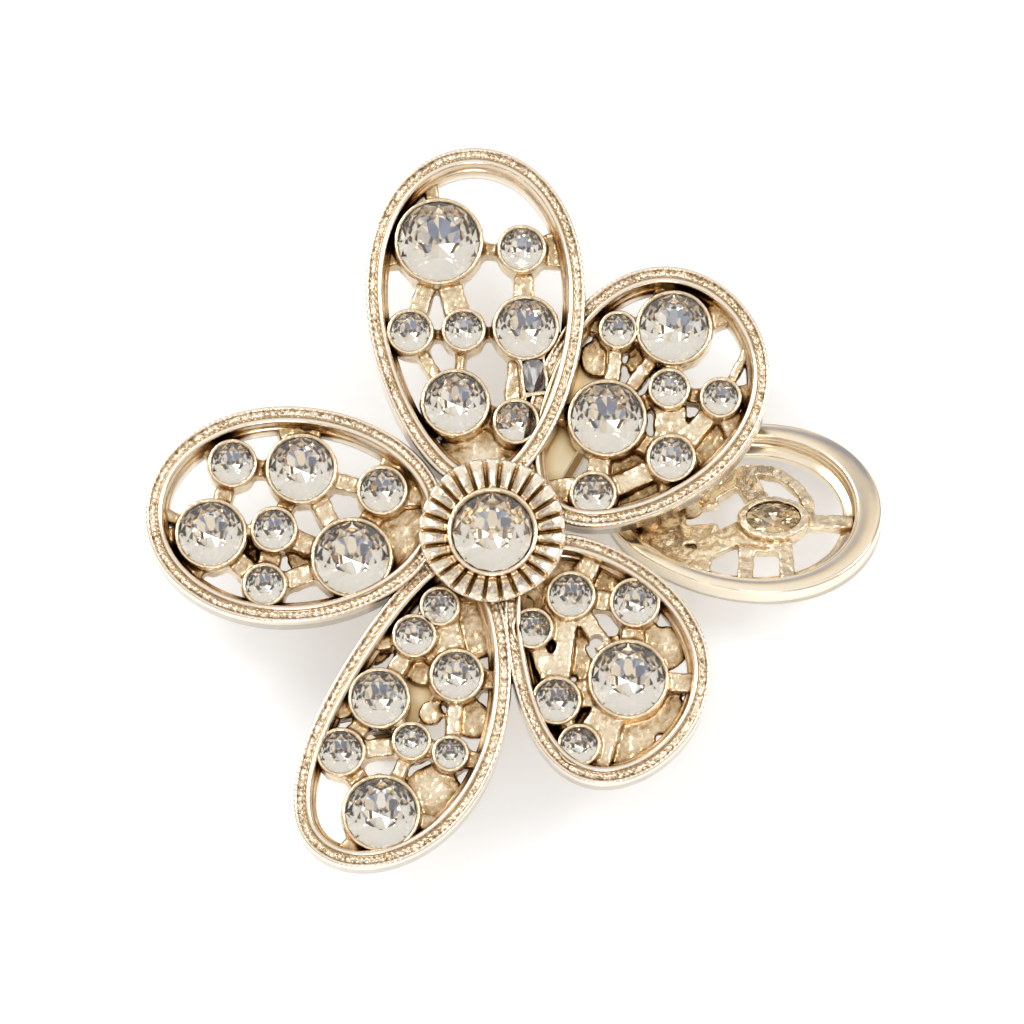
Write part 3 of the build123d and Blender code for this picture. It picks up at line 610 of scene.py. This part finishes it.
def stone_material(name, silvering, haze, share):
    """Clear glass; faces that look down carry the foil, a mirror with that share of haze."""
    mat = bpy.data.materials.new(name)
    mat.use_nodes = True
    tree = mat.node_tree
    tree.nodes.clear()
    shape = node(tree, "ShaderNodeNewGeometry")
    parts = node(tree, "ShaderNodeSeparateXYZ", Vector=shape.outputs["True Normal"])
    flip = node(tree, "ShaderNodeMath")
    flip.operation = "MULTIPLY_ADD"
    tree.links.new(shape.outputs["Backfacing"], flip.inputs[0])
    flip.inputs[1].default_value = -2
    flip.inputs[2].default_value = 1
    outward = node(tree, "ShaderNodeMath")
    outward.operation = "MULTIPLY"
    tree.links.new(parts.outputs["Z"], outward.inputs[0])
    tree.links.new(flip.outputs["Value"], outward.inputs[1])
    under = node(tree, "ShaderNodeMath")
    under.operation = "LESS_THAN"
    tree.links.new(outward.outputs["Value"], under.inputs[0])
    under.inputs[1].default_value = -0.1
    crown = node(tree, "ShaderNodeBsdfGlass", Color=linear("FFFFFF"), Roughness=0.0, IOR=1.52)
    mirror = node(tree, "ShaderNodeBsdfGlossy", Color=linear(silvering), Roughness=0.05)
    dull = node(tree, "ShaderNodeBsdfDiffuse", Color=linear(haze))
    foil = node(tree, "ShaderNodeMixShader", Fac=share)
    tree.links.new(mirror.outputs["BSDF"], foil.inputs[1])
    tree.links.new(dull.outputs["BSDF"], foil.inputs[2])
    both = node(tree, "ShaderNodeMixShader", Fac=under.outputs["Value"])
    tree.links.new(crown.outputs["BSDF"], both.inputs[1])
    tree.links.new(foil.outputs["Shader"], both.inputs[2])
    node(tree, "ShaderNodeOutputMaterial", Surface=both.outputs["Shader"])
    return mat


# White and grey-blue sparkle in the flower, a honey tone in the leaf.
clear = stone_material("foiled clear glass", "FFFBF3", "D2D4DA", 0.18)
pale = stone_material("frosted foiled glass", "FFFFFF", "D8DADC", 0.5)
warm = stone_material("champagne foiled glass", "FFF1D9", "EAD3A8", 0.25)
for name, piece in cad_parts.items():
    if "stone" in name or "baguette" in name:
        piece.data.materials.clear()
        piece.data.materials.append({"leaf_stone": warm, "petal_top_baguette": pale}.get(name, clear))
        piece.data.shade_flat()


# STAGE
# A pale paper floor under the clip, a bright soft sky with darker patches for the facets and the plating
# to pick up, and three soft lamps. The camera looks down steeply, a little from the bottom petal's side.

floor_mat = bpy.data.materials.new("pale paper")
floor_mat.use_nodes = True
tree = floor_mat.node_tree
tree.nodes.clear()
paper = node(tree, "ShaderNodeBsdfPrincipled", Base_Color=linear("EDF0F4"), Roughness=0.9,
             Emission_Color=linear("FFFFFF"), Emission_Strength=0.3)
node(tree, "ShaderNodeOutputMaterial", Surface=paper.outputs["BSDF"])
bpy.ops.mesh.primitive_plane_add(size=3, location=(0, 0, -0.0002))
floor = bpy.context.object
floor.name = "floor"
floor.data.materials.append(floor_mat)

world = bpy.data.worlds.new("studio")
bpy.context.scene.world = world
world.use_nodes = True
tree = world.node_tree
tree.nodes.clear()
direction = node(tree, "ShaderNodeTexCoord").outputs["Generated"]
axes = node(tree, "ShaderNodeSeparateXYZ", Vector=direction)
wave = node(tree, "ShaderNodeTexNoise", Vector=direction, Scale=3.5, Detail=2.0, Roughness=0.6)
lift = node(tree, "ShaderNodeMath")
lift.operation = "MULTIPLY_ADD"
tree.links.new(axes.outputs["Z"], lift.inputs[0])
lift.inputs[1].default_value = 0.22
tree.links.new(wave.outputs["Fac"], lift.inputs[2])
sky = ramp(tree, lift.outputs["Value"], (0.38, "5C5A5E"), (0.47, "7C87A6"), (0.55, "A4AABC"), (0.6, "F8E6C2"),
           (0.7, "FFFFFF"))
light = node(tree, "ShaderNodeBackground", Color=sky, Strength=0.95)
node(tree, "ShaderNodeOutputWorld", Surface=light.outputs["Background"])

# place in m, size in m, power in W
for place, size, power in [((-0.35, 0.3, 0.5), 0.3, 1.5), ((0.4, 0.1, 0.45), 0.2, 0.7),
                           ((0.0, -0.45, 0.35), 0.15, 0.4)]:
    bpy.ops.object.light_add(type="AREA", location=place)
    lamp = bpy.context.object
    lamp.data.size = size
    lamp.data.energy = power
    lamp.rotation_euler = (-Vector(place)).to_track_quat("-Z", "Y").to_euler()

TILT = 77
FRAME_WIDTH = 0.08192
target = Vector((1.56, 1.85, 10.5)) * MM
tilt = math.radians(TILT)
distance = 0.8
bpy.ops.object.camera_add(location=target + distance * Vector((0, -math.cos(tilt), math.sin(tilt))))
camera = bpy.context.object
camera.rotation_euler = (math.radians(90 - TILT), 0, 0)
camera.data.lens = camera.data.sensor_width * distance / FRAME_WIDTH
camera.data.clip_start = 0.05
bpy.context.scene.camera = camera
bpy.context.scene.view_settings.view_transform = "Standard"
